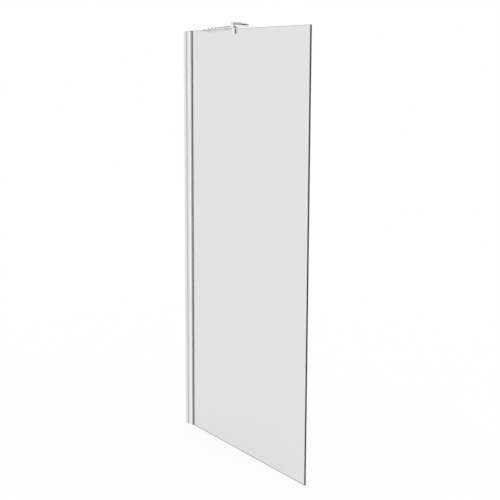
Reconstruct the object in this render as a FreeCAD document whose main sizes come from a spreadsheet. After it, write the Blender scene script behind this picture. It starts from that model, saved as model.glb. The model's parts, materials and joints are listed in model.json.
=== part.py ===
import FreeCAD, Part
import os
import Sketcher

# A fixed shower screen: a glass panel held by its edge in a wall profile, and braced by an arm
# that runs from a clamp on the glass's top edge back to the wall.
# X runs from the wall along the glass, Y through the glass towards the shower, Z up.
# The origin lies on the wall face, at the floor, in the middle of the glass's thickness.

SIZES = {
    # Glass panel
    "panel_reach": 900,
    "panel_top": 1850,
    "glass_thickness": 8,
    "glass_seat": 26,
    "floor_gap": 2,
    "glass_arris": 0.8,
    # Wall profile: a flange on the wall and a channel that stands out from it
    "flange_width": 48,
    "flange_thickness": 3,
    "channel_width": 20,
    "channel_depth": 36,
    "channel_wall": 1.8,
    "profile_round": 0.8,
    "profile_cap": 2,
    "cap_plug_length": 10,
    "cap_plug_height": 10,
    "cap_plug_gap": 1,
    "wall_hole": 5.2,
    "wall_hole_inset": 99,
    "lock_screw": 5,
    "lock_screw_reach": 23,
    "lock_screw_inset": 250,
    "lock_socket": 2.9,
    "lock_socket_depth": 1.4,
    # Glazing profile, which slides in the channel to take up a wall that isn't true
    "panel_travel": 8,
    "slide_play": 0.3,
    "glazing_back": 12,
    "glazing_mouth": 38,
    "glazing_wall": 1.5,
    "glazing_web": 2,
    "glazing_round": 0.4,
    "glazing_cap": 2,
    "cap_play": 0.5,
    "buffer_thickness": 2,
    "gasket_depth": 10,
    "gasket_lip": 2,
    "gasket_cover": 1.2,
    "gasket_tip": 0.8,
    # Clamp on the glass's top edge
    "clamp_reach": 383,
    "barrel_diameter": 22.5,
    "barrel_wall": 3.5,
    "barrel_gap": 3.5,
    "barrel_round": 1,
    "end_cap": 1.5,
    "end_play": 0.5,
    "jaw_diameter": 13,
    "jaw_thickness": 8.5,
    "jaw_drop": 22,
    "jaw_round": 1.5,
    "jaw_travel": 4,
    "jaw_neck_width": 7,
    "jaw_neck_depth": 5,
    "pad_thickness": 1.5,
    "pad_margin": 1.5,
    "clamp_screw": 6,
    "screw_drop": 1,
    "screw_end_room": 1,
    "clip_room": 5,
    "clip_width": 1.6,
    "clip_thickness": 1,
    "clip_gap": 4,
    "knob_diameter": 18,
    "knob_end_diameter": 14.5,
    "knob_length": 38,
    "knob_chamfer": 2,
    "knob_groove": 1,
    "knob_groove_depth": 0.5,
    "knob_groove_pitch": 3,
    "knob_socket": 5.8,
    "knob_socket_depth": 5,
    # Knuckles at both ends of the arm
    "knuckle_width": 20,
    "knuckle_gap": 3,
    "knuckle_glass_gap": 2,
    "lug_thickness": 8,
    "lug_lift": 2,
    "lug_neck": 14,
    "lug_rim": 5.5,
    "pivot_pin": 6,
    "pin_inset": 0.5,
    "open_pivot_play": 0.3,
    "fork_diameter": 25,
    "fork_slot_depth": 13,
    "fork_taper": 7,
    "fork_shoulder": 24,
    "fork_round": 1.2,
    "spigot_length": 20,
    # Arm: an inner tube that slides in an outer tube, locked by a collar
    "outer_tube": 19,
    "inner_tube": 15,
    "inner_tube_wall": 1.5,
    "inner_tube_length": 150,
    "inner_tube_shown": 70,
    "collar_wall": 1,
    "collar_length": 14,
    "collar_chamfer": 0.5,
    "grub_screw": 4,
    "grub_bite": 3,
    "grub_recess": 0.6,
    "grub_socket": 2.3,
    "grub_socket_depth": 1.5,
    # Oblong wall rosette
    "wall_pin_reach": 36,
    "wall_pin_back": 92,
    "rosette_width": 22,
    "rosette_height": 10,
    "rosette_thickness": 5,
    "rosette_round": 0.6,
    "rosette_neck": 8,
    "rosette_hole": 3.5,
    "rosette_hole_pitch": 15,
    "rosette_sink": 5.6,
    # Fits shared by all pieces
    "running_fit": 0.05,
    "snug_fit": 0.02,
}

WALL_HOLE_COUNT = 4
LOCK_SCREW_COUNT = 3
KNOB_GROOVE_COUNT = 3

doc = FreeCAD.newDocument("shower_screen")
sheet = doc.addObject("Spreadsheet::Sheet", "Sizes")
for row, (size_name, size) in enumerate(SIZES.items(), start=1):
    sheet.set(f"A{row}", size_name)
    sheet.set(f"B{row}", str(size))
    sheet.setAlias(f"B{row}", size_name)
doc.recompute()

# Places and sizes that several pieces share, as expressions on the sheet
half_glass = "(Sizes.glass_thickness / 2)"
half_channel = "(Sizes.channel_width / 2)"
profile_length = "(Sizes.panel_top - Sizes.profile_cap)"
glazing_half = f"({half_channel} - Sizes.channel_wall - Sizes.slide_play)"
pocket_half = f"({glazing_half} - Sizes.glazing_wall)"
web_front = "(Sizes.glass_seat - Sizes.buffer_thickness)"
web_back = f"({web_front} - Sizes.glazing_web)"
glazing_foot = "(Sizes.floor_gap + Sizes.glazing_cap)"
glazing_top = f"({profile_length} - Sizes.cap_play - Sizes.glazing_cap)"
glazing_length = f"({glazing_top} - {glazing_foot})"

barrel_height = "(Sizes.panel_top + Sizes.barrel_gap + Sizes.barrel_diameter / 2)"
screw_height = f"({barrel_height} - Sizes.screw_drop)"
arm_height = "(Sizes.panel_top + Sizes.barrel_gap + Sizes.lug_lift)"
jaw_foot = "(Sizes.panel_top - Sizes.jaw_drop)"
jaw_face = f"({half_glass} + Sizes.pad_thickness)"
jaw_outside = f"({jaw_face} + Sizes.jaw_thickness)"
jaw_axis = f"({jaw_outside} - Sizes.jaw_diameter / 2)"
plunger_diameter = "(Sizes.barrel_diameter - 2 * Sizes.barrel_wall)"
bore_diameter = f"({plunger_diameter} + 2 * Sizes.running_fit)"
bore_bottom = f"(Sizes.clip_room - {half_glass})"
screw_bore = "(Sizes.clamp_screw + 2 * Sizes.running_fit)"
barrel_front = f"({jaw_outside} + Sizes.jaw_travel + Sizes.end_play + Sizes.end_cap)"

pivot_x = (
    "(Sizes.clamp_reach - Sizes.barrel_diameter / 2"
    " - Sizes.knuckle_gap - Sizes.knuckle_width / 2)"
)
pivot_y = f"({half_glass} + Sizes.knuckle_glass_gap + Sizes.knuckle_width / 2)"
barrel_back = f"({pivot_y} + Sizes.lug_neck / 2 + Sizes.lug_rim)"
arm_run_x = f"({pivot_x} - Sizes.wall_pin_reach)"
arm_run_y = f"({pivot_y} - Sizes.wall_pin_back)"
arm_length = f"hypot({arm_run_x}; {arm_run_y})"
arm_angle = f"atan2({arm_run_y}; {arm_run_x})"
outer_bore = "(Sizes.inner_tube + 2 * Sizes.running_fit)"
inner_bore = "(Sizes.inner_tube - 2 * Sizes.inner_tube_wall)"
outer_start = "(Sizes.fork_shoulder + Sizes.inner_tube_shown)"
spigot_middle = "(Sizes.fork_shoulder + Sizes.spigot_length / 2)"
collar_middle = f"({outer_start} + Sizes.collar_length / 2)"
collar_diameter = "(Sizes.outer_tube + 2 * Sizes.collar_wall)"

# Numbers by which a sketch names its two axes, the first also its origin, and a line's points
LEVEL_AXIS, UPRIGHT_AXIS = range(-1, -3, -1)
START_POINT, END_POINT, MIDDLE_POINT = range(1, 4)

TOUCHING = 1e-6
SOCKET_SIDE_COUNT = 6
UPRIGHT = FreeCAD.Rotation()
ALONG_X = FreeCAD.Rotation(FreeCAD.Vector(0, 1, 0), 90)
ALONG_Y = FreeCAD.Rotation(FreeCAD.Vector(1, 0, 0), -90)
DOWNWARD = FreeCAD.Rotation(FreeCAD.Vector(1, 0, 0), 180)
QUARTER_TURN = FreeCAD.Rotation(FreeCAD.Vector(0, 0, 1), 90)

pieces = []


def value(expression):
    return float(sheet.evalExpression(expression))


def finished(piece, label):
    piece.Label = label
    pieces.append(piece)
    return piece


def put(piece, x="0", y="0", z="0"):
    for axis, place in zip("xyz", (x, y, z)):
        piece.setExpression(f"Placement.Base.{axis}", place)
    return piece


def put_on_arm(piece):
    put(piece, "Sizes.wall_pin_reach", "Sizes.wall_pin_back", arm_height)
    piece.setExpression("Placement.Rotation.Angle", arm_angle)
    return piece


def rod(name, diameter, length, place=("0", "0", "0"), turn=UPRIGHT):
    solid = doc.addObject("Part::Cylinder", name)
    solid.setExpression("Radius", f"({diameter}) / 2")
    solid.setExpression("Height", length)
    solid.Placement = FreeCAD.Placement(FreeCAD.Vector(), turn)
    return put(solid, *place)


def cone(name, first_diameter, last_diameter, length, place, turn):
    solid = doc.addObject("Part::Cone", name)
    solid.setExpression("Radius1", f"({first_diameter}) / 2")
    solid.setExpression("Radius2", f"({last_diameter}) / 2")
    solid.setExpression("Height", length)
    solid.Placement = FreeCAD.Placement(FreeCAD.Vector(), turn)
    return put(solid, *place)


def block(name, low, high):
    solid = doc.addObject("Part::Box", name)
    for side, start, end in zip(("Length", "Width", "Height"), low, high):
        solid.setExpression(side, f"({end}) - ({start})")
    return put(solid, *low)


def hexagon(name, across_corners, depth, place, turn):
    solid = doc.addObject("Part::Prism", name)
    solid.Polygon = SOCKET_SIDE_COUNT
    solid.setExpression("Circumradius", f"({across_corners}) / 2")
    solid.setExpression("Height", depth)
    solid.Placement = FreeCAD.Placement(FreeCAD.Vector(), turn)
    return put(solid, *place)


def joined(name, solids):
    union = doc.addObject("Part::MultiFuse", name)
    union.Shapes = solids
    union.Refine = True
    return union


def common(name, first, second):
    shared = doc.addObject("Part::Common", name)
    shared.Base = first
    shared.Tool = second
    return shared


def cut(name, solid, tools):
    result = doc.addObject("Part::Cut", name)
    result.Base = solid
    result.Tool = tools[0] if len(tools) == 1 else joined(name + "_tools", tools)
    return result


def softened(name, solid, radius, wanted):
    doc.recompute()
    result = doc.addObject("Part::Fillet", name)
    result.Base = solid
    size = value(radius)
    numbers = [n for n, edge in enumerate(solid.Shape.Edges, start=1) if wanted(edge)]
    result.Edges = [(number, size, size) for number in numbers]
    return result


def new_sketch(body, name, role="XY_Plane"):
    sketch = body.newObject("Sketcher::SketchObject", name)
    plane = [feature for feature in body.Origin.OriginFeatures if feature.Role == role][0]
    sketch.AttachmentSupport = [(plane, "")]
    sketch.MapMode = "FlatFace"
    return sketch


def tie_point(sketch, geometry, point, place):
    kinds = ("DistanceX", UPRIGHT_AXIS), ("DistanceY", LEVEL_AXIS)
    for (kind, axis), expression in zip(kinds, place):
        away = value(expression)
        if away == 0:
            sketch.addConstraint(Sketcher.Constraint("PointOnObject", geometry, point, axis))
            continue
        rule = Sketcher.Constraint(kind, LEVEL_AXIS, START_POINT, geometry, point, away)
        index = sketch.addConstraint(rule)
        sketch.setExpression(f"Constraints[{index}]", expression)


def draw_outline(sketch, corners):
    points = [FreeCAD.Vector(value(x), value(y), 0) for x, y in corners]
    for start, end in zip(points, points[1:] + points[:1]):
        sketch.addGeometry(Part.LineSegment(start, end), False)
    for line, corner in enumerate(corners):
        following = (line + 1) % len(corners)
        meeting = Sketcher.Constraint("Coincident", line, END_POINT, following, START_POINT)
        sketch.addConstraint(meeting)
        tie_point(sketch, line, START_POINT, corner)


def draw_circle(sketch, centre, diameter):
    middle = FreeCAD.Vector(value(centre[0]), value(centre[1]), 0)
    round_line = Part.Circle(middle, FreeCAD.Vector(0, 0, 1), value(diameter) / 2)
    circle = sketch.addGeometry(round_line, False)
    index = sketch.addConstraint(Sketcher.Constraint("Diameter", circle, value(diameter)))
    sketch.setExpression(f"Constraints[{index}]", diameter)
    tie_point(sketch, circle, MIDDLE_POINT, centre)


def pad_outline(body, name, corners, length, downward=False):
    sketch = new_sketch(body, name + "_outline")
    draw_outline(sketch, corners)
    pad = body.newObject("PartDesign::Pad", name)
    pad.Profile = sketch
    pad.setExpression("Length", length)
    pad.Reversed = downward
    return pad


def bore_holes(body, name, role, centres, diameter, depth, towards_positive):
    doc.recompute()
    before = body.Shape.Volume
    sketch = new_sketch(body, name + "_circles", role)
    for centre in centres:
        draw_circle(sketch, centre, diameter)
    pocket = body.newObject("PartDesign::Pocket", name)
    pocket.Profile = sketch
    pocket.setExpression("Length", depth)
    pocket.Reversed = towards_positive
    doc.recompute()
    if not body.Shape.Volume < before:
        raise RuntimeError(f"{name} cut nothing")


def round_corners(body, name, radius, wanted):
    doc.recompute()
    sharp = body.Tip
    numbers = [f"Edge{n}" for n, edge in enumerate(sharp.Shape.Edges, start=1) if wanted(edge)]
    fillet = body.newObject("PartDesign::Fillet", name)
    fillet.Base = (sharp, numbers)
    fillet.setExpression("Radius", radius)


def turned(name, profile):
    body = doc.addObject("PartDesign::Body", name + "_body")
    sketch = new_sketch(body, name + "_profile")
    draw_outline(sketch, profile)
    revolution = body.newObject("PartDesign::Revolution", name + "_turning")
    revolution.Profile = sketch
    revolution.ReferenceAxis = (sketch, ["H_Axis"])
    revolution.Angle = 360
    return body


def upright_at(edge, x, half_width):
    first, last = edge.Vertexes[0].Point, edge.Vertexes[-1].Point
    upright = abs(first.x - last.x) + abs(first.y - last.y) < TOUCHING
    return upright and abs(first.x - x) < TOUCHING and abs(abs(first.y) - half_width) < TOUCHING


def spread(count, inset):
    pitch = f"({profile_length} - 2 * ({inset})) / {count - 1}"
    return [f"({inset}) + {number} * {pitch}" for number in range(count)]


# Wall profile: extruded and polished aluminium, screwed to the wall through the channel's floor
def make_wall_profile():
    inner = f"({half_channel} - Sizes.channel_wall)"
    right_side = [
        ("0", "Sizes.flange_width / 2"),
        ("Sizes.flange_thickness", "Sizes.flange_width / 2"),
        ("Sizes.flange_thickness", half_channel),
        ("Sizes.channel_depth", half_channel),
        ("Sizes.channel_depth", inner),
        ("Sizes.flange_thickness", inner),
    ]
    left_side = [(x, f"-({y})") for x, y in reversed(right_side)]
    body = doc.addObject("PartDesign::Body", "wall_profile_body")
    pad_outline(body, "wall_profile_extrusion", right_side + left_side, profile_length)
    wall_holes = [("0", height) for height in spread(WALL_HOLE_COUNT, "Sizes.wall_hole_inset")]
    bore_holes(body, "wall_holes", "YZ_Plane", wall_holes, "Sizes.wall_hole",
               "Sizes.flange_thickness", True)
    lock_holes = [("Sizes.lock_screw_reach", height)
                  for height in spread(LOCK_SCREW_COUNT, "Sizes.lock_screw_inset")]
    bore_holes(body, "lock_holes", "XZ_Plane", lock_holes,
               "Sizes.lock_screw + 2 * Sizes.snug_fit", half_channel, False)
    flange = value("Sizes.flange_thickness"), value("Sizes.flange_width / 2")
    mouth = value("Sizes.channel_depth"), value(half_channel)
    round_corners(body, "wall_profile_rounds", "Sizes.profile_round",
                  lambda edge: upright_at(edge, *flange) or upright_at(edge, *mouth))
    return finished(body, "wall_profile")


# Cap: closes the channel's top, slit for the glass to slide in, with a plug behind the panel
def make_wall_profile_cap():
    slit_back = "Sizes.glass_seat - Sizes.panel_travel - Sizes.slide_play"
    slit_half = f"{half_glass} + Sizes.slide_play"
    plug_half = f"({pocket_half} - Sizes.cap_plug_gap)"
    plug_end = "Sizes.flange_thickness + Sizes.cap_plug_length"
    body = doc.addObject("PartDesign::Body", "wall_profile_cap_body")
    plate = [
        ("0", f"-{half_channel}"),
        ("Sizes.channel_depth", f"-{half_channel}"),
        ("Sizes.channel_depth", f"-({slit_half})"),
        (slit_back, f"-({slit_half})"),
        (slit_back, slit_half),
        ("Sizes.channel_depth", slit_half),
        ("Sizes.channel_depth", half_channel),
        ("0", half_channel),
    ]
    pad_outline(body, "cap_plate", plate, "Sizes.profile_cap")
    plug = [
        ("Sizes.flange_thickness", f"-{plug_half}"),
        (plug_end, f"-{plug_half}"),
        (plug_end, plug_half),
        ("Sizes.flange_thickness", plug_half),
    ]
    pad_outline(body, "cap_plug", plug, "Sizes.cap_plug_height", downward=True)
    return finished(put(body, z=profile_length), "wall_profile_cap")


# Locking screws: set screws in the channel's shower side that press on the glazing profile
def make_locking_screws():
    screws = []
    tip = f"({glazing_half} + Sizes.running_fit)"
    for number, height in enumerate(spread(LOCK_SCREW_COUNT, "Sizes.lock_screw_inset"), start=1):
        name = f"locking_screw_{number}"
        shank = rod(name + "_shank", "Sizes.lock_screw", f"{half_channel} - {tip}",
                    ("Sizes.lock_screw_reach", tip, height), ALONG_Y)
        socket = hexagon(name + "_socket", "Sizes.lock_socket", "Sizes.lock_socket_depth",
                         ("Sizes.lock_screw_reach", f"{half_channel} - Sizes.lock_socket_depth", height),
                         ALONG_Y)
        screws.append(cut(name, shank, [socket]))
    group = doc.addObject("Part::Compound", "locking_screw_group")
    group.Links = screws
    return finished(group, "locking_screws")


# Glass: toughened, with ground and polished edges
def make_glass_panel():
    outline = [
        ("Sizes.glass_seat", f"-{half_glass}"),
        ("Sizes.panel_reach", f"-{half_glass}"),
        ("Sizes.panel_reach", half_glass),
        ("Sizes.glass_seat", half_glass),
    ]
    body = doc.addObject("PartDesign::Body", "glass_panel_body")
    pad = pad_outline(body, "glass_sheet", outline, "Sizes.panel_top - Sizes.floor_gap")
    doc.recompute()
    arris = body.newObject("PartDesign::Chamfer", "glass_arris")
    arris.Base = (pad, [f"Edge{number}" for number in range(1, len(pad.Shape.Edges) + 1)])
    arris.setExpression("Size", "Sizes.glass_arris")
    return finished(put(body, z="Sizes.floor_gap"), "glass_panel")


# Glazing profile: an extruded H that holds the glass's edge in its front and slides by its back
def make_glazing_profile():
    right_side = [
        ("Sizes.glazing_mouth", pocket_half),
        ("Sizes.glazing_mouth", glazing_half),
        ("Sizes.glazing_back", glazing_half),
        ("Sizes.glazing_back", pocket_half),
        (web_back, pocket_half),
    ]
    left_side = [(x, f"-({y})") for x, y in reversed(right_side)]
    pocket_floor = [(web_front, f"-({pocket_half})"), (web_front, pocket_half)]
    body = doc.addObject("PartDesign::Body", "glazing_profile_body")
    outline = right_side + left_side + pocket_floor
    pad_outline(body, "glazing_extrusion", outline, glazing_length)
    mouth = value("Sizes.glazing_mouth"), value(glazing_half)
    round_corners(body, "glazing_rounds", "Sizes.glazing_round",
                  lambda edge: upright_at(edge, *mouth))
    return finished(put(body, z=glazing_foot), "glazing_profile")


# Glazing caps: close the two ends of the glazing profile's front, round the glass
def make_glazing_cap(label, height):
    right_side = [
        ("Sizes.glass_seat", half_glass),
        ("Sizes.glazing_mouth", half_glass),
        ("Sizes.glazing_mouth", glazing_half),
        (web_back, glazing_half),
    ]
    left_side = [(x, f"-({y})") for x, y in reversed(right_side)]
    body = doc.addObject("PartDesign::Body", label + "_body")
    pad_outline(body, label + "_plate", right_side + left_side, "Sizes.glazing_cap")
    return finished(put(body, z=height), label)


# Gaskets: pushed in beside the glass, with a lip over the end of the profile's wall
def make_gasket(label, side):
    section = [
        ("Sizes.glazing_mouth - Sizes.gasket_depth", half_glass),
        ("Sizes.glazing_mouth + Sizes.gasket_lip", half_glass),
        ("Sizes.glazing_mouth + Sizes.gasket_lip", f"{half_glass} + Sizes.gasket_tip"),
        ("Sizes.glazing_mouth", f"{pocket_half} + Sizes.gasket_cover"),
        ("Sizes.glazing_mouth", pocket_half),
        ("Sizes.glazing_mouth - Sizes.gasket_depth", pocket_half),
    ]
    outline = [(x, f"{side} * ({y})") for x, y in section]
    body = doc.addObject("PartDesign::Body", label + "_body")
    pad_outline(body, label + "_strip", outline, glazing_length)
    return finished(put(body, z=glazing_foot), label)


# Edge buffer: keeps the glass's edge off the metal
def make_edge_buffer():
    outline = [
        (web_front, f"-{half_glass}"),
        ("Sizes.glass_seat", f"-{half_glass}"),
        ("Sizes.glass_seat", half_glass),
        (web_front, half_glass),
    ]
    body = doc.addObject("PartDesign::Body", "edge_buffer_body")
    pad_outline(body, "edge_buffer_strip", outline, glazing_length)
    return finished(put(body, z=glazing_foot), "glass_edge_buffer")


def level_at(edge, height):
    box = edge.BoundBox
    return abs(box.ZMin - height) < TOUCHING and abs(box.ZMax - height) < TOUCHING


def jaw_stem(name, side, top):
    axis = f"{side} * {jaw_axis}"
    stem = rod(name + "_stem", "Sizes.jaw_diameter", f"({top}) - {jaw_foot}",
               ("Sizes.clamp_reach", axis, jaw_foot))
    foot = value(jaw_foot)
    rounded = softened(name + "_stem_round", stem, "Sizes.jaw_round",
                       lambda edge: level_at(edge, foot))
    near, far = sorted((f"{side} * {jaw_face}", "0"), key=value)
    half = "Sizes.jaw_diameter / 2"
    flat = block(name + "_flat",
                 (f"Sizes.clamp_reach - {half}", near, jaw_foot),
                 (f"Sizes.clamp_reach + {half}", far, top))
    return cut(name + "_flat_stem", rounded, [flat])


# Clamp body: a cast barrel across the glass's top edge, with the rear jaw and the arm's lug
def make_clamp_body():
    barrel = rod("barrel", "Sizes.barrel_diameter", f"{barrel_front} + {barrel_back}",
                 ("Sizes.clamp_reach", f"-{barrel_front}", barrel_height), ALONG_Y)
    barrel = softened("barrel_round", barrel, "Sizes.barrel_round",
                      lambda edge: edge.BoundBox.YLength < TOUCHING)
    rear_jaw = jaw_stem("rear_jaw", 1, barrel_height)
    lug_low = f"{arm_height} - Sizes.lug_thickness / 2"
    lug_high = f"{arm_height} + Sizes.lug_thickness / 2"
    neck = block("lug_neck_plate",
                 (pivot_x, f"{pivot_y} - Sizes.lug_neck / 2", lug_low),
                 ("Sizes.clamp_reach", f"{pivot_y} + Sizes.lug_neck / 2", lug_high))
    eye = rod("lug_eye", "Sizes.knuckle_width", "Sizes.lug_thickness", (pivot_x, pivot_y, lug_low))
    solid = joined("clamp_casting", [barrel, rear_jaw, neck, eye])
    front_bore = rod("front_bore", bore_diameter, f"{barrel_front} + {bore_bottom}",
                     ("Sizes.clamp_reach", f"-{barrel_front}", barrel_height), ALONG_Y)
    screw_hole = rod("screw_hole", screw_bore, barrel_back,
                     ("Sizes.clamp_reach", "0", screw_height), ALONG_Y)
    pin_hole = rod("lug_pin_hole", "Sizes.pivot_pin + 2 * Sizes.snug_fit", "Sizes.lug_thickness",
                   (pivot_x, pivot_y, lug_low))
    slot_half = "(Sizes.jaw_neck_width / 2 + Sizes.slide_play)"
    slot_front = f"{jaw_axis} + Sizes.jaw_neck_depth / 2 + Sizes.jaw_travel + Sizes.slide_play"
    slot_back = f"{jaw_axis} - Sizes.jaw_neck_depth / 2 - Sizes.slide_play"
    slot = block("jaw_slot",
                 (f"Sizes.clamp_reach - {slot_half}", f"-({slot_front})", "Sizes.panel_top"),
                 (f"Sizes.clamp_reach + {slot_half}", f"-({slot_back})", barrel_height))
    body = cut("clamp_body_solid", solid, [front_bore, screw_hole, pin_hole, slot])
    return finished(body, "clamp_body")


# End cap: a disc pressed into the mouth of the barrel's bore
def make_clamp_end_cap():
    disc = rod("end_cap_disc", f"{bore_diameter} - 2 * Sizes.snug_fit", "Sizes.end_cap",
               ("Sizes.clamp_reach", f"-{barrel_front}", barrel_height), ALONG_Y)
    return finished(disc, "clamp_end_cap")


# Front jaw: a plunger in the barrel carries it, and the clamp screw draws it against the glass
def make_front_jaw():
    stem_top = "(Sizes.panel_top + Sizes.barrel_gap - Sizes.slide_play)"
    stem = jaw_stem("front_jaw", -1, stem_top)
    neck_half = "Sizes.jaw_neck_width / 2"
    neck_front = f"-{jaw_axis} - Sizes.jaw_neck_depth / 2"
    neck_back = f"-{jaw_axis} + Sizes.jaw_neck_depth / 2"
    neck_low = f"{stem_top} - Sizes.barrel_gap"
    neck = block("front_jaw_neck",
                 (f"Sizes.clamp_reach - {neck_half}", neck_front, neck_low),
                 (f"Sizes.clamp_reach + {neck_half}", neck_back, barrel_height))
    plunger = rod("front_jaw_plunger", plunger_diameter, f"{jaw_outside} - {half_glass}",
                  ("Sizes.clamp_reach", f"-{jaw_outside}", barrel_height), ALONG_Y)
    solid = joined("front_jaw_solid", [stem, neck, plunger])
    thread = rod("front_jaw_thread", screw_bore, f"{jaw_outside} - {half_glass}",
                 ("Sizes.clamp_reach", f"-{jaw_outside}", screw_height), ALONG_Y)
    return finished(cut("front_jaw_threaded", solid, [thread]), "front_jaw")


# Jaw pads: rubber between each jaw's flat and the glass
def make_jaw_pad(label, side):
    near, far = sorted((f"{side} * {half_glass}", f"{side} * {jaw_face}"), key=value)
    half = "(Sizes.jaw_diameter / 2 - Sizes.pad_margin)"
    pad = block(label + "_block",
                (f"Sizes.clamp_reach - {half}", near, f"{jaw_foot} + Sizes.pad_margin"),
                (f"Sizes.clamp_reach + {half}", far, "Sizes.panel_top - Sizes.pad_margin"))
    return finished(pad, label)


# Clamp screw: a spindle with a long round knob that narrows to its end, socketed for a key
def make_clamp_screw():
    start = f"({barrel_back} + Sizes.slide_play)"
    end = f"({start} + Sizes.knob_length)"
    narrowing = "((Sizes.knob_diameter - Sizes.knob_end_diameter) / 2 / Sizes.knob_length)"
    tip = f"-({jaw_outside} - Sizes.screw_end_room)"

    def surface(place):
        return f"(Sizes.knob_diameter / 2 - {narrowing} * (({place}) - {start}))"

    edge = f"({start} + Sizes.knob_groove_depth)"
    profile = [
        (tip, "0"),
        (tip, "Sizes.clamp_screw / 2"),
        (start, "Sizes.clamp_screw / 2"),
        (start, f"{surface(start)} - Sizes.knob_groove_depth"),
        (edge, surface(edge)),
    ]
    shoulder = f"({end} - Sizes.knob_chamfer)"
    first_groove = f"({shoulder} - {KNOB_GROOVE_COUNT} * Sizes.knob_groove_pitch)"
    for number in range(KNOB_GROOVE_COUNT):
        groove = f"({first_groove} + {number} * Sizes.knob_groove_pitch)"
        middle = f"({groove} + Sizes.knob_groove / 2)"
        far = f"({groove} + Sizes.knob_groove)"
        profile += [
            (groove, surface(groove)),
            (middle, f"{surface(middle)} - Sizes.knob_groove_depth"),
            (far, surface(far)),
        ]
    profile += [
        (shoulder, surface(shoulder)),
        (end, f"{surface(end)} - Sizes.knob_chamfer"),
        (end, "0"),
    ]
    knob = turned("clamp_screw", profile)
    knob.Placement = FreeCAD.Placement(FreeCAD.Vector(), QUARTER_TURN)
    put(knob, "Sizes.clamp_reach", "0", screw_height)
    socket = hexagon("knob_key_socket", "Sizes.knob_socket", "Sizes.knob_socket_depth",
                     ("Sizes.clamp_reach", f"{end} - Sizes.knob_socket_depth", screw_height), ALONG_Y)
    return finished(cut("clamp_screw_solid", knob, [socket]), "clamp_screw")


# Retaining clip: an open ring on the spindle that stops the screw from drawing out
def make_screw_clip():
    face = f"({bore_bottom} - Sizes.slide_play - Sizes.clip_thickness)"
    place = ("Sizes.clamp_reach", face, screw_height)
    hole = "Sizes.clamp_screw + 2 * Sizes.snug_fit"
    outside = f"{hole} + 2 * Sizes.clip_width"
    ring = rod("clip_disc", outside, "Sizes.clip_thickness", place, ALONG_Y)
    centre = rod("clip_hole", hole, "Sizes.clip_thickness", place, ALONG_Y)
    gap = block("clip_gap_cut",
                ("Sizes.clamp_reach - Sizes.clip_gap / 2", face, screw_height),
                ("Sizes.clamp_reach + Sizes.clip_gap / 2", f"{face} + Sizes.clip_thickness",
                 f"{screw_height} + {outside}"))
    return finished(cut("clip_ring", ring, [centre, gap]), "screw_retaining_clip")


# Pivot pins: upright through a lug and the two prongs of a fork
def make_pivot_pin(label, x, y):
    length = "(Sizes.fork_diameter - 2 * Sizes.pin_inset)"
    pin = rod(label + "_rod", "Sizes.pivot_pin", length, (x, y, f"{arm_height} - {length} / 2"))
    return finished(pin, label)


# Wall rosette: an oblong plate on the wall with a lug for the arm's fork and two sunk screw holes
def rosette_plate():
    half_height = "(Sizes.rosette_height / 2)"
    end_reach = f"(Sizes.rosette_width / 2 - {half_height})"
    left, right = [f"Sizes.wall_pin_back + {side} * {end_reach}" for side in (-1, 1)]
    middle = block("rosette_middle",
                   ("0", left, f"{arm_height} - {half_height}"),
                   ("Sizes.rosette_thickness", right, f"{arm_height} + {half_height}"))
    ends = [
        rod(name, "Sizes.rosette_height", "Sizes.rosette_thickness", ("0", place, arm_height), ALONG_X)
        for name, place in (("rosette_left_end", left), ("rosette_right_end", right))
    ]
    sharp = joined("rosette_sharp_plate", [middle, *ends])
    face = value("Sizes.rosette_thickness")
    return softened("rosette_plate", sharp, "Sizes.rosette_round",
                    lambda edge: edge.BoundBox.XMin > face - TOUCHING)


def make_wall_rosette():
    lug_low = f"{arm_height} - Sizes.lug_thickness / 2"
    lug_high = f"{arm_height} + Sizes.lug_thickness / 2"
    neck = block("rosette_neck",
                 ("Sizes.rosette_thickness / 2", "Sizes.wall_pin_back - Sizes.rosette_neck / 2", lug_low),
                 ("Sizes.wall_pin_reach", "Sizes.wall_pin_back + Sizes.rosette_neck / 2", lug_high))
    eye = rod("rosette_eye", "Sizes.knuckle_width", "Sizes.lug_thickness",
              ("Sizes.wall_pin_reach", "Sizes.wall_pin_back", lug_low))
    solid = joined("rosette_solid", [rosette_plate(), neck, eye])
    tools = [rod("rosette_pin_hole", "Sizes.pivot_pin + 2 * Sizes.snug_fit", "Sizes.lug_thickness",
                 ("Sizes.wall_pin_reach", "Sizes.wall_pin_back", lug_low))]
    sink_depth = "((Sizes.rosette_sink - Sizes.rosette_hole) / 2)"
    sink_floor = f"Sizes.rosette_thickness - {sink_depth}"
    for name, side in (("left", -1), ("right", 1)):
        place = f"Sizes.wall_pin_back + {side} * Sizes.rosette_hole_pitch / 2"
        tools.append(rod(f"rosette_{name}_hole", "Sizes.rosette_hole", "Sizes.rosette_thickness",
                         ("0", place, arm_height), ALONG_X))
        tools.append(cone(f"rosette_{name}_sink", "Sizes.rosette_hole", "Sizes.rosette_sink", sink_depth,
                          (sink_floor, place, arm_height), ALONG_X))
    return finished(cut("rosette_drilled", solid, tools), "wall_rosette")


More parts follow.
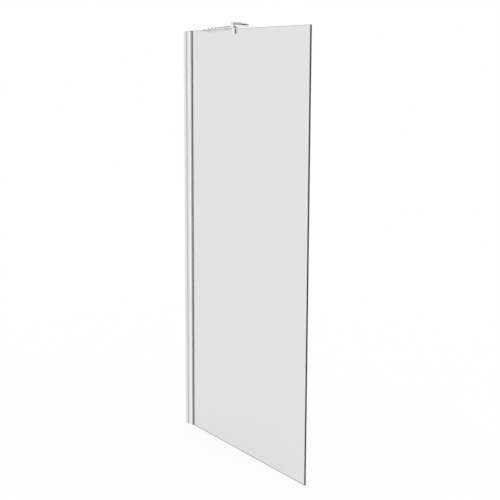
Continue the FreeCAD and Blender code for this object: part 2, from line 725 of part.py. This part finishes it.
# Forks: turned knuckles, slotted for a lug, with a spigot that fits the bore of a tube
def fork_solid(name, spigot_diameter, neck_diameter, pin_play):
    half_width = "Sizes.knuckle_width / 2"
    half_height = "Sizes.fork_diameter / 2"
    straight = "(Sizes.fork_shoulder - Sizes.fork_taper)"
    shank = rod(name + "_shank", "Sizes.fork_diameter", f"{half_width} + {straight}",
                (f"-{half_width}", "0", "0"), ALONG_X)
    taper = cone(name + "_taper", "Sizes.fork_diameter", neck_diameter, "Sizes.fork_taper",
                 (straight, "0", "0"), ALONG_X)
    blank = joined(name + "_blank", [shank, taper])
    sides = block(name + "_sides",
                  ("0", f"-{half_width}", f"-{half_height}"),
                  ("Sizes.fork_shoulder", half_width, half_height))
    nose = rod(name + "_nose", "Sizes.knuckle_width", "Sizes.fork_diameter", ("0", "0", f"-{half_height}"))
    head = common(name + "_sharp_head", blank, joined(name + "_plan", [sides, nose]))
    shoulder = value("Sizes.fork_shoulder")
    head = softened(name + "_head", head, "Sizes.fork_round",
                    lambda edge: edge.BoundBox.XMax < shoulder - TOUCHING)
    spigot = rod(name + "_spigot", spigot_diameter, "Sizes.spigot_length + Sizes.fork_taper",
                 (straight, "0", "0"), ALONG_X)
    solid = joined(name + "_solid", [head, spigot])
    slot_half = "(Sizes.lug_thickness / 2 + Sizes.slide_play)"
    slot = block(name + "_slot",
                 (f"-{half_width}", f"-{half_width}", f"-{slot_half}"),
                 ("Sizes.fork_slot_depth", half_width, slot_half))
    pin_hole = rod(name + "_pin_hole", f"Sizes.pivot_pin + 2 * {pin_play}", "Sizes.fork_diameter",
                   ("0", "0", f"-{half_height}"))
    screw_hole = rod(name + "_screw_hole", "Sizes.grub_screw + 2 * Sizes.snug_fit", "Sizes.grub_bite",
                     (spigot_middle, "0", f"Sizes.grub_bite - ({spigot_diameter}) / 2"), DOWNWARD)
    return cut(name, solid, [slot, pin_hole, screw_hole])


def make_wall_fork():
    spigot = f"{inner_bore} - 2 * Sizes.snug_fit"
    fork = fork_solid("wall_fork_solid", spigot, "Sizes.inner_tube", "Sizes.running_fit")
    return finished(put_on_arm(fork), "wall_fork")


def make_clamp_fork():
    spigot = f"{outer_bore} - 2 * Sizes.snug_fit"
    fork = fork_solid("clamp_fork_solid", spigot, "Sizes.outer_tube", "Sizes.open_pivot_play")
    put(fork, pivot_x, pivot_y, arm_height)
    fork.setExpression("Placement.Rotation.Angle", f"{arm_angle} + 180 deg")
    return finished(fork, "clamp_fork")


def tube(name, outside, inside, start, length, screw_places):
    wall = rod(name + "_outside", outside, length, (start, "0", "0"), ALONG_X)
    tools = [rod(name + "_bore", inside, length, (start, "0", "0"), ALONG_X)]
    for number, place in enumerate(screw_places, start=1):
        tools.append(rod(f"{name}_hole_{number}", "Sizes.grub_screw + 2 * Sizes.snug_fit", outside,
                         (place, "0", "0"), DOWNWARD))
    return put_on_arm(cut(name, wall, tools))


# Arm tubes: the inner one is fixed to the wall fork, the outer one slides over it to the clamp
def make_inner_tube():
    solid = tube("inner_tube_solid", "Sizes.inner_tube", inner_bore, "Sizes.fork_shoulder",
                 "Sizes.inner_tube_length", [spigot_middle])
    return finished(solid, "inner_tube")


def make_outer_tube():
    length = f"({arm_length} - Sizes.fork_shoulder - {outer_start})"
    solid = tube("outer_tube_solid", "Sizes.outer_tube", outer_bore, outer_start, length,
                 [collar_middle, f"{arm_length} - {spigot_middle}"])
    return finished(solid, "outer_tube")


# Locking collar: a turned ring on the outer tube's end, threaded for the lock screw
def make_lock_collar():
    end = f"{outer_start} + Sizes.collar_length"
    outside = f"{collar_diameter} / 2"
    inside = "Sizes.outer_tube / 2 + Sizes.snug_fit"
    profile = [
        (outer_start, inside),
        (outer_start, f"{outside} - Sizes.collar_chamfer"),
        (f"{outer_start} + Sizes.collar_chamfer", outside),
        (f"{end} - Sizes.collar_chamfer", outside),
        (end, f"{outside} - Sizes.collar_chamfer"),
        (end, inside),
    ]
    ring = turned("lock_collar", profile)
    hole = rod("lock_collar_hole", "Sizes.grub_screw + 2 * Sizes.snug_fit", collar_diameter,
               (collar_middle, "0", "0"), DOWNWARD)
    return finished(put_on_arm(cut("lock_collar_drilled", ring, [hole])), "lock_collar")


# Grub screws: set in from below, each with a key socket in its lower end
def make_grub_screw(label, place, outside_diameter, tip_radius):
    head_radius = f"({outside_diameter} / 2 - Sizes.grub_recess)"
    shank = rod(label + "_shank", "Sizes.grub_screw", f"{head_radius} - ({tip_radius})",
                (place, "0", f"-({tip_radius})"), DOWNWARD)
    socket = hexagon(label + "_socket", "Sizes.grub_socket", "Sizes.grub_socket_depth",
                     (place, "0", f"Sizes.grub_socket_depth - {head_radius}"), DOWNWARD)
    return finished(put_on_arm(cut(label + "_solid", shank, [socket])), label)


def make_arm_screws():
    bite = "Sizes.snug_fit - Sizes.grub_bite"
    make_grub_screw("wall_fork_screw", spigot_middle, "Sizes.inner_tube",
                    f"{inner_bore} / 2 + {bite}")
    make_grub_screw("clamp_fork_screw", f"{arm_length} - {spigot_middle}", "Sizes.outer_tube",
                    f"{outer_bore} / 2 + {bite}")
    make_grub_screw("arm_lock_screw", collar_middle, collar_diameter,
                    "Sizes.inner_tube / 2 + Sizes.running_fit")


make_wall_profile()
make_wall_profile_cap()
make_locking_screws()
make_wall_rosette()
make_pivot_pin("wall_pivot_pin", "Sizes.wall_pin_reach", "Sizes.wall_pin_back")
make_glass_panel()
make_glazing_profile()
make_glazing_cap("glazing_top_cap", glazing_top)
make_glazing_cap("glazing_foot_cap", "Sizes.floor_gap")
make_gasket("front_gasket", -1)
make_gasket("rear_gasket", 1)
make_edge_buffer()
make_clamp_body()
make_clamp_end_cap()
make_jaw_pad("rear_jaw_pad", 1)
make_pivot_pin("clamp_pivot_pin", pivot_x, pivot_y)
make_front_jaw()
make_jaw_pad("front_jaw_pad", -1)
make_clamp_screw()
make_screw_clip()
make_wall_fork()
make_inner_tube()
make_outer_tube()
make_lock_collar()
make_clamp_fork()
make_arm_screws()
doc.recompute()

failed = [item.Label for item in doc.Objects if {"Invalid", "Error"} & set(item.State)]
for piece in pieces:
    if piece.Shape.isNull() or not piece.Shape.isValid() or not piece.Shape.Solids:
        failed.append(piece.Label)
if failed:
    raise RuntimeError("these did not build: " + ", ".join(failed))

os.makedirs("parts", exist_ok=True)
for piece in pieces:
    piece.Shape.exportStep(f"parts/{piece.Label}.step")
    box = piece.Shape.BoundBox
    low, high = (box.XMin, box.YMin, box.ZMin), (box.XMax, box.YMax, box.ZMax)
    corners = " to ".join("({:.1f}, {:.1f}, {:.1f})".format(*corner) for corner in (low, high))
    print(f"{piece.Label}: {len(piece.Shape.Solids)} solids, {piece.Shape.Volume:.0f} mm3, {corners}")
print("arm length", round(value(arm_length), 3), "mm, angle", round(value(arm_angle), 4), "degrees")
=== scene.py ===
import json
import math

import bpy
from mathutils import Euler, Matrix, Vector


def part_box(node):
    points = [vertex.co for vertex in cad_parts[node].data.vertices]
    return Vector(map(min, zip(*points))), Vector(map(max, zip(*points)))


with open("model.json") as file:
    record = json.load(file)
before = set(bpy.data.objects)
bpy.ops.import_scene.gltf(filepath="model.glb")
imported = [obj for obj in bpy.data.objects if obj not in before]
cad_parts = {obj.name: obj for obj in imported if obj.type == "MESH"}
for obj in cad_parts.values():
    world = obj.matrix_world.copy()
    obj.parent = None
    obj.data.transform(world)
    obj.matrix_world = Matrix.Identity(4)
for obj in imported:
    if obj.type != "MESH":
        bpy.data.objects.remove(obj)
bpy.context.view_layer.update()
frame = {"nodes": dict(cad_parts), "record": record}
bpy.ops.object.select_all(action="DESELECT")


# Its inner corner, where the flange meets the channel, is painted darker as painted shade, and is made
# duller.
# Wall profile: a straight aluminium extrusion, bright dipped and polished, with the faint lines that
# the die leaves along its length and a few hand marks from fitting it.
# It is screwed to the wall through the floor of its channel.
POLISHED_COLOURS = ((0.86, 0.86, 0.85), (0.93, 0.93, 0.92))
POLISHED_ROUGHNESS = (0.06, 0.16)
LENGTHWISE = (900.0, 900.0, 4.0)
LINE_DEPTH = 0.00001
MARK_FREQUENCY = 9.0
MARK_SHARE = 0.45
MARK_FULL = 0.8
MARK_DULLNESS = 0.06
FLANGE_THICKNESS = 0.003
CHANNEL_HALF_WIDTH = 0.010
# Painted shade in the inner corner between flange and channel, with extra dullness there:
CORNER_MASK_NEAR = 0.0015
CORNER_MASK_FAR = 0.007
CORNER_SHADE_COLOUR = (0.75, 0.75, 0.74)
CORNER_ROUGHNESS = 0.15


def start_material(name):
    material = bpy.data.materials.new(name)
    material.use_nodes = True
    tree = material.node_tree
    return material, tree, tree.nodes["Principled BSDF"]


def finish_nodes(material, *names):
    for name in names:
        for slot in frame["nodes"][name].material_slots:
            slot.material = material


def add(tree, kind, **inputs):
    node = tree.nodes.new(kind)
    for socket, setting in inputs.items():
        node.inputs[socket.replace("_", " ")].default_value = setting
    return node


def calculate(tree, operation, *operands):
    node = tree.nodes.new("ShaderNodeMath")
    node.operation = operation
    for index, operand in enumerate(operands):
        if isinstance(operand, float):
            node.inputs[index].default_value = operand
        else:
            tree.links.new(operand, node.inputs[index])
    return node.outputs["Value"]


def vector_step(tree, operation, vector, other):
    node = tree.nodes.new("ShaderNodeVectorMath")
    node.operation = operation
    tree.links.new(vector, node.inputs[0])
    if isinstance(other, tuple):
        node.inputs[1].default_value = other
    else:
        tree.links.new(other, node.inputs[1])
    return node.outputs


def object_place(tree):
    return add(tree, "ShaderNodeTexCoord").outputs["Object"]


def axes_of(tree, vector):
    axes = add(tree, "ShaderNodeSeparateXYZ")
    tree.links.new(vector, axes.inputs["Vector"])
    return axes.outputs


def between(tree, mask, low, high):
    spread = add(tree, "ShaderNodeMapRange", To_Min=low, To_Max=high)
    tree.links.new(mask, spread.inputs["Value"])
    return spread.outputs["Result"]


def smooth_ramp(tree, place, start, end, first, last):
    ramp = add(tree, "ShaderNodeMapRange", From_Min=start, From_Max=end, To_Min=first, To_Max=last)
    ramp.interpolation_type = "SMOOTHSTEP"
    tree.links.new(place, ramp.inputs["Value"])
    return ramp.outputs["Result"]


def blend_colours(tree, mask, first, second):
    mix = tree.nodes.new("ShaderNodeMix")
    mix.data_type = "RGBA"
    for socket, colour in (("A", first), ("B", second)):
        if isinstance(colour, tuple):
            mix.inputs[socket].default_value = (*colour, 1.0)
        else:
            tree.links.new(colour, mix.inputs[socket])
    tree.links.new(mask, mix.inputs["Factor"])
    return mix.outputs["Result"]


def add_bump(tree, shader, height, depth):
    bump = add(tree, "ShaderNodeBump", Strength=1.0, Distance=depth)
    tree.links.new(height, bump.inputs["Height"])
    tree.links.new(bump.outputs["Normal"], shader.inputs["Normal"])


def new_group(name, inputs, outputs):
    group = bpy.data.node_groups.new(name, "ShaderNodeTree")
    for socket, default in inputs.items():
        kind = "NodeSocketVector" if isinstance(default, tuple) else "NodeSocketFloat"
        group.interface.new_socket(socket, in_out="INPUT", socket_type=kind).default_value = default
    for socket in outputs:
        group.interface.new_socket(socket, in_out="OUTPUT", socket_type="NodeSocketFloat")
    start = group.nodes.new("NodeGroupInput")
    end = group.nodes.new("NodeGroupOutput")
    return group, start, end


def place_group(tree, group, **inputs):
    node = tree.nodes.new("ShaderNodeGroup")
    node.node_tree = group
    for socket, setting in inputs.items():
        node.inputs[socket].default_value = setting
    return node


def make_tool_lines():
    group, start, end = new_group("tool_lines", {"Frequency": LENGTHWISE, "Turn": 0.0}, ["Lines"])
    turned = add(group, "ShaderNodeVectorRotate")
    turned.rotation_type = "Z_AXIS"
    noise = add(group, "ShaderNodeTexNoise", Scale=1.0, Detail=3.0, Roughness=0.6)
    link = group.links.new
    link(object_place(group), turned.inputs["Vector"])
    link(start.outputs["Turn"], turned.inputs["Angle"])
    stretched = vector_step(group, "MULTIPLY", turned.outputs["Vector"], start.outputs["Frequency"])
    link(stretched["Vector"], noise.inputs["Vector"])
    link(noise.outputs["Fac"], end.inputs["Lines"])
    return group


def make_hand_marks():
    inputs = {"Frequency": MARK_FREQUENCY, "Share": MARK_SHARE}
    group, start, end = new_group("hand_marks", inputs, ["Marks"])
    noise = add(group, "ShaderNodeTexNoise", Detail=5.0, Roughness=0.62, Distortion=0.6)
    spread = add(group, "ShaderNodeMapRange", From_Max=MARK_FULL)
    spread.interpolation_type = "SMOOTHSTEP"
    link = group.links.new
    link(object_place(group), noise.inputs["Vector"])
    link(start.outputs["Frequency"], noise.inputs["Scale"])
    link(calculate(group, "SUBTRACT", 1.0, start.outputs["Share"]), spread.inputs["From Min"])
    link(noise.outputs["Fac"], spread.inputs["Value"])
    link(spread.outputs["Result"], end.inputs["Marks"])
    return group


tool_lines = make_tool_lines()
hand_marks = make_hand_marks()


def worked_metal(name, colours, roughness, frequency, turn=0.0, depth=LINE_DEPTH, shade_and_dullness=None):
    material, tree, shader = start_material(name)
    shader.inputs["Metallic"].default_value = 1.0
    lines = place_group(tree, tool_lines, Frequency=frequency, Turn=turn).outputs["Lines"]
    marks = place_group(tree, hand_marks, Frequency=MARK_FREQUENCY, Share=MARK_SHARE).outputs["Marks"]
    colour = blend_colours(tree, lines, *colours)
    marked = between(tree, marks, 0.0, MARK_DULLNESS)
    rough = calculate(tree, "ADD", between(tree, lines, *roughness), marked)
    # An optional mask blends in a painted shade colour and adds dullness where it reaches.
    if shade_and_dullness:
        mask, shade_colour, dull_roughness = shade_and_dullness(tree)
        colour = blend_colours(tree, mask, colour, shade_colour)
        rough = calculate(tree, "ADD", rough, between(tree, mask, 0.0, dull_roughness))
    tree.links.new(colour, shader.inputs["Base Color"])
    tree.links.new(rough, shader.inputs["Roughness"])
    add_bump(tree, shader, lines, depth)
    return material


# Painted shade: a darker colour, with extra dullness, in the inner corner where the flange meets the
# channel.
def corner_shade_and_dullness(tree):
    axes = axes_of(tree, object_place(tree))
    out = calculate(tree, "SUBTRACT", axes["X"], FLANGE_THICKNESS)
    aside = calculate(tree, "SUBTRACT", calculate(tree, "ABSOLUTE", axes["Y"]), CHANNEL_HALF_WIDTH)
    away = calculate(tree, "MAXIMUM", out, aside)
    mask = smooth_ramp(tree, away, CORNER_MASK_NEAR, CORNER_MASK_FAR, 1.0, 0.0)
    return mask, CORNER_SHADE_COLOUR, CORNER_ROUGHNESS


polished_aluminium = worked_metal("polished_aluminium", POLISHED_COLOURS, POLISHED_ROUGHNESS,
                                  LENGTHWISE, shade_and_dullness=corner_shade_and_dullness)
finish_nodes(polished_aluminium, "wall_profile")


# Caps: small mouldings of grey plastic that close the wall profile's top and both ends of the
# glazing profile. They are pushed in, and have the fine grain of a spark-eroded mould.
CAP_COLOURS = ((0.44, 0.44, 0.45), (0.52, 0.52, 0.53))
CAP_ROUGHNESS = (0.34, 0.52)
CAP_GRAIN = 2600.0
CAP_GRAIN_DEPTH = 0.00006
CAP_SPECULAR = 0.5


def make_grain():
    group, start, end = new_group("fine_grain", {"Frequency": CAP_GRAIN}, ["Grain", "Cloud"])
    place = object_place(group)
    fine = add(group, "ShaderNodeTexNoise", Detail=4.0, Roughness=0.7)
    broad = add(group, "ShaderNodeTexNoise", Scale=60.0, Detail=3.0)
    link = group.links.new
    for noise in (fine, broad):
        link(place, noise.inputs["Vector"])
    link(start.outputs["Frequency"], fine.inputs["Scale"])
    link(fine.outputs["Fac"], end.inputs["Grain"])
    link(broad.outputs["Fac"], end.inputs["Cloud"])
    return group


fine_grain = make_grain()


def grained(name, colours, roughness, frequency, depth, specular):
    material, tree, shader = start_material(name)
    shader.inputs["Specular IOR Level"].default_value = specular
    grain = place_group(tree, fine_grain, Frequency=frequency)
    tree.links.new(blend_colours(tree, grain.outputs["Cloud"], *colours), shader.inputs["Base Color"])
    tree.links.new(between(tree, grain.outputs["Grain"], *roughness), shader.inputs["Roughness"])
    add_bump(tree, shader, grain.outputs["Grain"], depth)
    return material


moulded_plastic = grained("moulded_grey_plastic", CAP_COLOURS, CAP_ROUGHNESS, CAP_GRAIN,
                          CAP_GRAIN_DEPTH, CAP_SPECULAR)
finish_nodes(moulded_plastic, "wall_profile_cap", "glazing_top_cap", "glazing_foot_cap")


# Screws and pins: turned stainless steel, with the rings that the lathe leaves round each piece.
# The set screws are sunk below the surface, and the pins are pressed into the lugs.
STEEL_COLOURS = ((0.50, 0.49, 0.48), (0.66, 0.65, 0.63))
STEEL_ROUGHNESS = (0.20, 0.38)
TURNED_UPRIGHT = (60.0, 60.0, 5000.0)
TURNED_ALONG_Y = (60.0, 5000.0, 60.0)
upright_steel = worked_metal("turned_steel_upright", STEEL_COLOURS, STEEL_ROUGHNESS, TURNED_UPRIGHT)
level_steel = worked_metal("turned_steel_level", STEEL_COLOURS, STEEL_ROUGHNESS, TURNED_ALONG_Y)
finish_nodes(upright_steel, "wall_pivot_pin", "clamp_pivot_pin", "wall_fork_screw", "clamp_fork_screw",
             "arm_lock_screw")
finish_nodes(level_steel, "locking_screws", "screw_retaining_clip")


# Glazing profile: an extruded aluminium section with a satin anodised skin, duller than the wall profile
# that it slides in. Its darker colour is painted shade, for its place set back in the wall profile's
# channel.
SATIN_SHADED_COLOURS = ((0.56, 0.56, 0.555), (0.66, 0.66, 0.655))
SATIN_ROUGHNESS = (0.28, 0.40)
shaded_satin_aluminium = worked_metal("shaded_satin_aluminium", SATIN_SHADED_COLOURS, SATIN_ROUGHNESS, LENGTHWISE)
finish_nodes(shaded_satin_aluminium, "glazing_profile")


# Gaskets: extruded grey rubber, wedged between the glass and the glazing profile. Rubber takes
# fine lengthwise lines from its die and a slight grey bloom with age.
GASKET_COLOURS = ((0.50, 0.50, 0.505), (0.58, 0.58, 0.585))
GASKET_ROUGHNESS = (0.55, 0.75)
GASKET_SPECULAR = 0.35
GASKET_LINES = (1600.0, 1600.0, 12.0)
GASKET_LINE_DEPTH = 0.00005
BLOOM_COLOUR = (0.64, 0.64, 0.64)
BLOOM_FREQUENCY = 26.0
BLOOM_SHARE = 0.5


def make_gasket_rubber():
    material, tree, shader = start_material("gasket_rubber")
    shader.inputs["Specular IOR Level"].default_value = GASKET_SPECULAR
    lines = place_group(tree, tool_lines, Frequency=GASKET_LINES).outputs["Lines"]
    bloom = place_group(tree, hand_marks, Frequency=BLOOM_FREQUENCY, Share=BLOOM_SHARE).outputs["Marks"]
    grey = blend_colours(tree, lines, *GASKET_COLOURS)
    tree.links.new(blend_colours(tree, bloom, grey, BLOOM_COLOUR), shader.inputs["Base Color"])
    tree.links.new(between(tree, lines, *GASKET_ROUGHNESS), shader.inputs["Roughness"])
    add_bump(tree, shader, lines, GASKET_LINE_DEPTH)
    return material


finish_nodes(make_gasket_rubber(), "front_gasket", "rear_gasket")


# Glass: clear toughened glass, 8 mm thick, with finely ground edges. Their dark green look, partly the
# glass's own tint and partly the shade of light running along inside, is painted into their colour as
# painted shade. Its sides carry the slight wave of the toughening rollers and a few wiping marks.
WHITE = (1.0, 1.0, 1.0)
GLASS_REFRACTION = 1.5
GLASS_TINT = (0.14, 0.18, 0.16, 1.0)
GLASS_DENSITY = 34.0
GLASS_SHADOW = (0.9, 0.9, 0.9, 1.0)
WIPING_FREQUENCY = 3.0
WIPING_SHARE = 0.42
WIPED_ROUGHNESS = 0.03
ROLLER_WAVE = (1.5, 0.0, 7.0)
WAVE_DEPTH = 0.0004
EDGE_TINT_AND_SHADE = (0.40, 0.46, 0.43)
EDGE_ROUGHNESS = 0.25
GROUND_BAND = 0.0013
glass_low, glass_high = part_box("glass_panel")


def ground_edges(tree):
    axes = axes_of(tree, object_place(tree))
    shares = []
    for index, axis in ((0, "X"), (2, "Z")):
        middle = (glass_low[index] + glass_high[index]) / 2
        reach = (glass_high[index] - glass_low[index]) / 2 - GROUND_BAND
        away = calculate(tree, "ABSOLUTE", calculate(tree, "SUBTRACT", axes[axis], middle))
        shares.append(calculate(tree, "GREATER_THAN", away, reach))
    return calculate(tree, "MAXIMUM", *shares)


def make_glass():
    material, tree, shader = start_material("clear_glass")
    shader.inputs["Transmission Weight"].default_value = 1.0
    shader.inputs["IOR"].default_value = GLASS_REFRACTION
    marks = place_group(tree, hand_marks, Frequency=WIPING_FREQUENCY, Share=WIPING_SHARE).outputs["Marks"]
    wave = place_group(tree, tool_lines, Frequency=ROLLER_WAVE).outputs["Lines"]
    ground = ground_edges(tree)
    wiped = between(tree, marks, 0.0, WIPED_ROUGHNESS)
    frosted = between(tree, ground, 0.0, EDGE_ROUGHNESS)
    tree.links.new(calculate(tree, "ADD", wiped, frosted), shader.inputs["Roughness"])
    # Painted shade: the ground edges are painted a darker green, partly the glass's own tint.
    tree.links.new(blend_colours(tree, ground, WHITE, EDGE_TINT_AND_SHADE), shader.inputs["Base Color"])
    add_bump(tree, shader, wave, WAVE_DEPTH)
    absorb = add(tree, "ShaderNodeVolumeAbsorption", Color=GLASS_TINT, Density=GLASS_DENSITY)
    clear = add(tree, "ShaderNodeBsdfTransparent", Color=GLASS_SHADOW)
    path = add(tree, "ShaderNodeLightPath")
    mix = add(tree, "ShaderNodeMixShader")
    output = tree.nodes["Material Output"]
    link = tree.links.new
    link(path.outputs["Is Shadow Ray"], mix.inputs[0])
    link(shader.outputs["BSDF"], mix.inputs[1])
    link(clear.outputs["BSDF"], mix.inputs[2])
    link(mix.outputs["Shader"], output.inputs["Surface"])
    link(absorb.outputs["Volume"], output.inputs["Volume"])
    return material


finish_nodes(make_glass(), "glass_panel")


# Clamp castings and knuckles: brass, cast or milled, then polished and chrome plated. The plate is
# smooth with a faint orange peel, and finger marks dull it here and there.
CHROME_COLOURS = ((0.82, 0.82, 0.83), (0.87, 0.87, 0.88))
CHROME_ROUGHNESS = (0.03, 0.08)
CHROME_LINE_DEPTH = 0.000002
ORANGE_PEEL = (700.0, 700.0, 700.0)


def chrome_plate(name, frequency, turn=0.0):
    return worked_metal(name, CHROME_COLOURS, CHROME_ROUGHNESS, frequency, turn, CHROME_LINE_DEPTH)


finish_nodes(chrome_plate("cast_chrome", ORANGE_PEEL), "clamp_body", "clamp_end_cap", "front_jaw",
             "wall_fork", "clamp_fork", "wall_rosette")


# Clamp screw: a long round knob turned in one piece with its spindle, then chrome plated, so that it
# keeps fine rings from the lathe. It draws the front jaw against the glass.
KNOB_RINGS = (40.0, 2400.0, 40.0)
finish_nodes(chrome_plate("turned_chrome", KNOB_RINGS), "clamp_screw")


# Jaw pads and edge buffer: soft pale rubber that keeps the metal off the glass. The pads are
# die-cut from sheet with a fine cloth-like grain, and glued to the jaws.
PAD_COLOURS = ((0.58, 0.58, 0.58), (0.66, 0.66, 0.66))
PAD_ROUGHNESS = (0.6, 0.85)
PAD_GRAIN = 1800.0
PAD_GRAIN_DEPTH = 0.0001
PAD_SPECULAR = 0.3
pad_rubber = grained("pad_rubber", PAD_COLOURS, PAD_ROUGHNESS, PAD_GRAIN, PAD_GRAIN_DEPTH, PAD_SPECULAR)
finish_nodes(pad_rubber, "front_jaw_pad", "rear_jaw_pad", "glass_edge_buffer")


# Arm tubes and collar: drawn brass tube, chrome plated, with faint lines along the arm. The inner
# tube slides in the outer one, and the collar's set screw locks the arm's length.
ALONG_ARM = (6.0, 1500.0, 1500.0)
joints = frame["record"]["behaviour"]["joints"]
arm_joint = next(joint for joint in joints if joint["name"] == "arm_extend")
arm_turn = -math.atan2(arm_joint["axis"][1], arm_joint["axis"][0])
finish_nodes(chrome_plate("drawn_chrome", ALONG_ARM, arm_turn), "inner_tube", "outer_tube", "lock_collar")


# Studio: a pale floor under a plain surround that is white round the horizon and dark higher up, with
# a broad soft light overhead. The floor keeps the object's shadow near it and fades to white further
# out. Metal and glass mirror the floor and the surround as the camera sees them.
FLOOR_SIZE = 60.0
FLOOR_DROP = 0.0005
FLOOR_ROUGHNESS = 0.9
FOOT = (0.0, 0.0, 0.0)
SHADOW_SHARE = 0.12
SHADOW_REACH = 3.0
CEILING_LOW = 0.15
CEILING_HIGH = 0.45
CEILING_SHADE = 0.09
OVERHEAD_LOW = 0.75
OVERHEAD_HIGH = 0.90
OVERHEAD_LIGHT = 2.6


def distance_ramp(tree, middle, inner, outer, near, far):
    away = vector_step(tree, "DISTANCE", object_place(tree), middle)["Value"]
    ramp = add(tree, "ShaderNodeMapRange", From_Min=inner, From_Max=outer, To_Min=near, To_Max=far)
    tree.links.new(away, ramp.inputs["Value"])
    return ramp.outputs["Result"]


def make_floor():
    bpy.ops.mesh.primitive_plane_add(size=FLOOR_SIZE, location=(0.0, 0.0, -FLOOR_DROP))
    floor = bpy.context.object
    floor.name = "studio_floor"
    material, tree, shader = start_material("studio_floor")
    shader.inputs["Base Color"].default_value = (*WHITE, 1.0)
    shader.inputs["Roughness"].default_value = FLOOR_ROUGHNESS
    shader.inputs["Specular IOR Level"].default_value = 0.0
    path = add(tree, "ShaderNodeLightPath")
    seen = path.outputs["Is Camera Ray"]
    for ray in ("Is Glossy Ray", "Is Transmission Ray"):
        seen = calculate(tree, "MAXIMUM", seen, path.outputs[ray])
    fade = distance_ramp(tree, FOOT, 0.0, SHADOW_REACH, 1.0 - SHADOW_SHARE, 1.0)
    shown = add(tree, "ShaderNodeEmission", Color=(*WHITE, 1.0), Strength=1.0)
    mix = add(tree, "ShaderNodeMixShader")
    link = tree.links.new
    link(calculate(tree, "MULTIPLY", seen, fade), mix.inputs[0])
    link(shader.outputs["BSDF"], mix.inputs[1])
    link(shown.outputs["Emission"], mix.inputs[2])
    link(mix.outputs["Shader"], tree.nodes["Material Output"].inputs["Surface"])
    floor.data.materials.append(material)


def make_surround():
    world = bpy.data.worlds.new("studio_surround")
    world.use_nodes = True
    bpy.context.scene.world = world
    tree = world.node_tree
    height = axes_of(tree, add(tree, "ShaderNodeTexCoord").outputs["Generated"])["Z"]
    ceiling = smooth_ramp(tree, height, CEILING_LOW, CEILING_HIGH, 1.0, CEILING_SHADE)
    overhead = smooth_ramp(tree, height, OVERHEAD_LOW, OVERHEAD_HIGH, 0.0, OVERHEAD_LIGHT)
    background = tree.nodes["Background"]
    background.inputs["Color"].default_value = (*WHITE, 1.0)
    tree.links.new(calculate(tree, "MAXIMUM", ceiling, overhead), background.inputs["Strength"])


make_floor()
make_surround()


# Camera: at the photograph's viewing angle, a little below the height of the glass's top edge,
# with a long lens and a slight lens shift that keeps the uprights nearly parallel.
EYE = Vector((3.9744, -2.4190, 1.6811))
HEADING = math.radians(55.166)
PITCH = math.radians(-8.792)
ROLL = math.radians(0.251)
SENSOR_WIDTH = 36.0
FOCAL_PIXELS = 1007.7
IMAGE_PIXELS = 500.0
FRAME_LIFT = 25.0
bpy.ops.object.camera_add()
camera = bpy.context.object
camera.data.sensor_width = SENSOR_WIDTH
camera.data.lens = SENSOR_WIDTH * FOCAL_PIXELS / IMAGE_PIXELS
camera.data.shift_y = -FRAME_LIFT / IMAGE_PIXELS
aim = Euler((math.pi / 2 + PITCH, 0.0, HEADING)).to_matrix() @ Matrix.Rotation(ROLL, 3, "Z")
camera.matrix_world = Matrix.Translation(EYE) @ aim.to_4x4()
bpy.context.scene.camera = camera

bpy.context.scene.view_settings.view_transform = "Standard"
